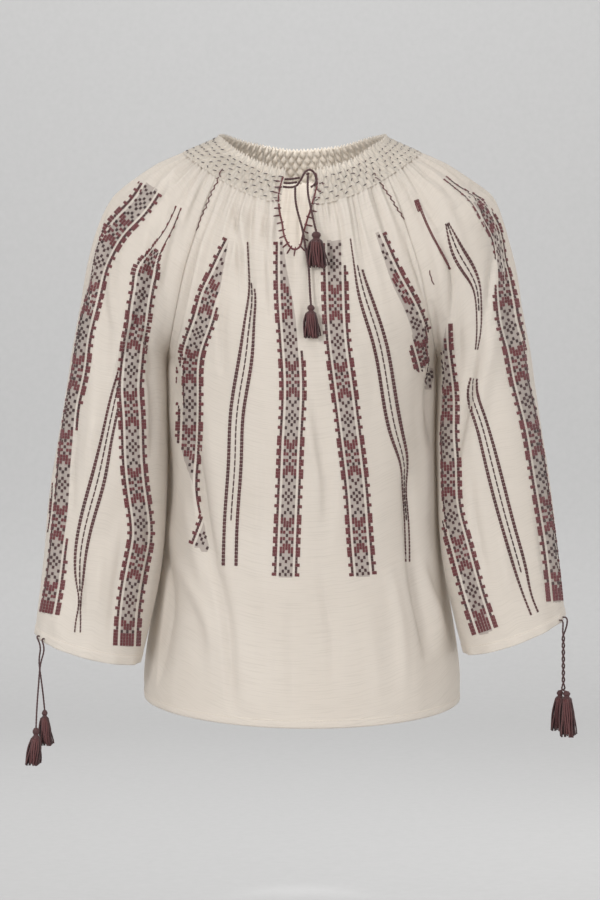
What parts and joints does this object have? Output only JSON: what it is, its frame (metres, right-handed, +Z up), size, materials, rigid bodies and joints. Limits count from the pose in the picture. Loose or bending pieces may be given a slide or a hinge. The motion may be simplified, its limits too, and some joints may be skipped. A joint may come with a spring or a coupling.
{
  "type": "romanian ie blouse",
  "caption": "Cotton peasant blouse with a smocked neck, front slit tied with a tasselled cord, raglan sleeves, drawn cuffs and woven-look embroidered bands.",
  "frame": {"origin": "between the wearer's shoulders, at the level where the neck of the blouse rests", "axes": "+Z up, front of the blouse faces -Y, +X to the wearer's left"},
  "size_m": [0.5869, 0.2651, 0.6867],
  "materials": {
    "cotton_cloth": "matt cream cotton voile with faint slubs",
    "smocked_cotton": "cream cotton in close pleats, dark tacking stitches",
    "burgundy_thread": "stranded cotton thread, slight sheen"
  },
  "bodies": {
    "root": {"front": "cotton_cloth", "back": "cotton_cloth", "sleeve_right": "cotton_cloth", "sleeve_left": "cotton_cloth", "neck_smocking": "smocked_cotton", "tie_lacing": "burgundy_thread", "tie_strand_upper": "burgundy_thread", "tie_strand_middle": "burgundy_thread", "tie_knot": "burgundy_thread", "tie_end_long": "burgundy_thread", "tie_end_short": "burgundy_thread", "cuff_cord_right_a": "burgundy_thread", "cuff_cord_right_b": "burgundy_thread", "cuff_cord_left_a": "burgundy_thread", "cuff_cord_left_b": "burgundy_thread", "tassel_tie_long": "burgundy_thread", "tassel_tie_short": "burgundy_thread", "tassel_cuff_right_a": "burgundy_thread", "tassel_cuff_right_b": "burgundy_thread", "tassel_cuff_left_a": "burgundy_thread", "tassel_cuff_left_b": "burgundy_thread"}
  },
  "joints": []
}
